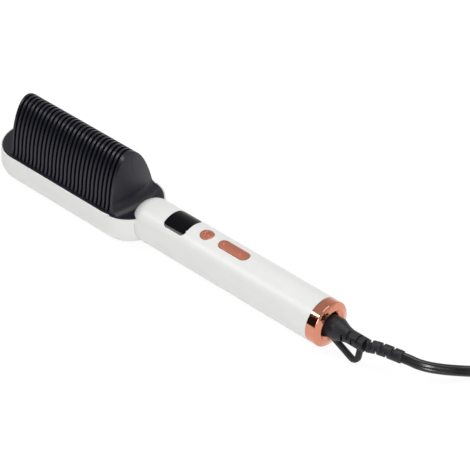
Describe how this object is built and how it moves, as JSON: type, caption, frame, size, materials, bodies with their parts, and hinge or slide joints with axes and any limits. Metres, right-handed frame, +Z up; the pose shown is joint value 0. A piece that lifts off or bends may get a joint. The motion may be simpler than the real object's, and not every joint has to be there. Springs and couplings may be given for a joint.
{
  "type": "hot comb",
  "caption": "Heated straightening comb: guard ribs with metal fins on a long head, round handle with display and buttons, swivel cord boot with hanging loop.",
  "frame": {"origin": "on the surface that the comb lies on, under the middle of everything but the free cord", "axes": "+X from the comb head to the cord end along the handle, +Z up with the comb teeth, display and buttons on top, +Y across the handle"},
  "size_m": [0.4981, 0.0898, 0.0626],
  "materials": {
    "white_satin": "satin",
    "black_satin": "satin",
    "black_plastic": "matte",
    "dark_aluminium": "dark anodised",
    "ceramic_heater": "matte film",
    "spring_steel": "bright",
    "green_plastic": "matte",
    "yellow_plastic": "matte",
    "red_plastic": "matte",
    "display_gloss": "glossy",
    "rose_gold": "polished rose gold plating",
    "brass": "bright",
    "nickel": "polished",
    "boot_plastic": "satin",
    "boot_rubber": "satin",
    "cord_rubber": "satin"
  },
  "bodies": {
    "comb": {"head_shell": "white_satin", "comb_deck": "black_satin", "heat_comb": "dark_aluminium", "ptc_near": "ceramic_heater", "ptc_far": "ceramic_heater", "ptc_wedge": "spring_steel", "thermal_cutout": "spring_steel", "temperature_sensor": "green_plastic", "heat_tray": "black_plastic", "tray_screws": "spring_steel", "handle_sleeve": "white_satin", "core_frame": "black_plastic", "neck_screw": "spring_steel", "control_board": "green_plastic", "power_supply": "black_plastic", "capacitor": "yellow_plastic", "triac": "black_plastic", "switches": "black_plastic", "display_module": "white_satin", "display_window": "display_gloss", "rocker_bracket": "black_plastic", "heater_leads": "red_plastic", "end_ring": "rose_gold", "swivel_seat": "black_plastic", "contact_block": "black_plastic", "contact_springs": "brass", "strain_relief": "boot_rubber", "cord": "cord_rubber", "cord_coil": "cord_rubber", "cord_tail": "cord_rubber", "cord_tie": "boot_rubber", "plug_body": "black_plastic", "plug_pins": "nickel"},
    "power": {"power_button": "rose_gold"},
    "rocker": {"rocker_button": "rose_gold"},
    "swivel": {"swivel_rotor": "boot_plastic", "slip_rings": "brass", "boot_collar": "boot_rubber"}
  },
  "joints": [
    {"name": "power_press", "type": "slide", "parent": "comb", "child": "power", "axis": [0, 0, -1], "range_m": [0, 0.0005], "stiffness_N_per_m": 400},
    {"name": "rocker_tilt", "type": "hinge", "parent": "comb", "child": "rocker", "pos_m": [0.03855, 0, 0.0264], "axis": [0, 1, 0], "range_deg": [-2.5, 2.5], "stiffness_Nm_per_rad": 0.05},
    {"name": "cord_swivel", "type": "hinge", "parent": "comb", "child": "swivel", "pos_m": [0.12205, 0, 0.0155], "axis": [1, 0, 0], "continuous": true}
  ]
}
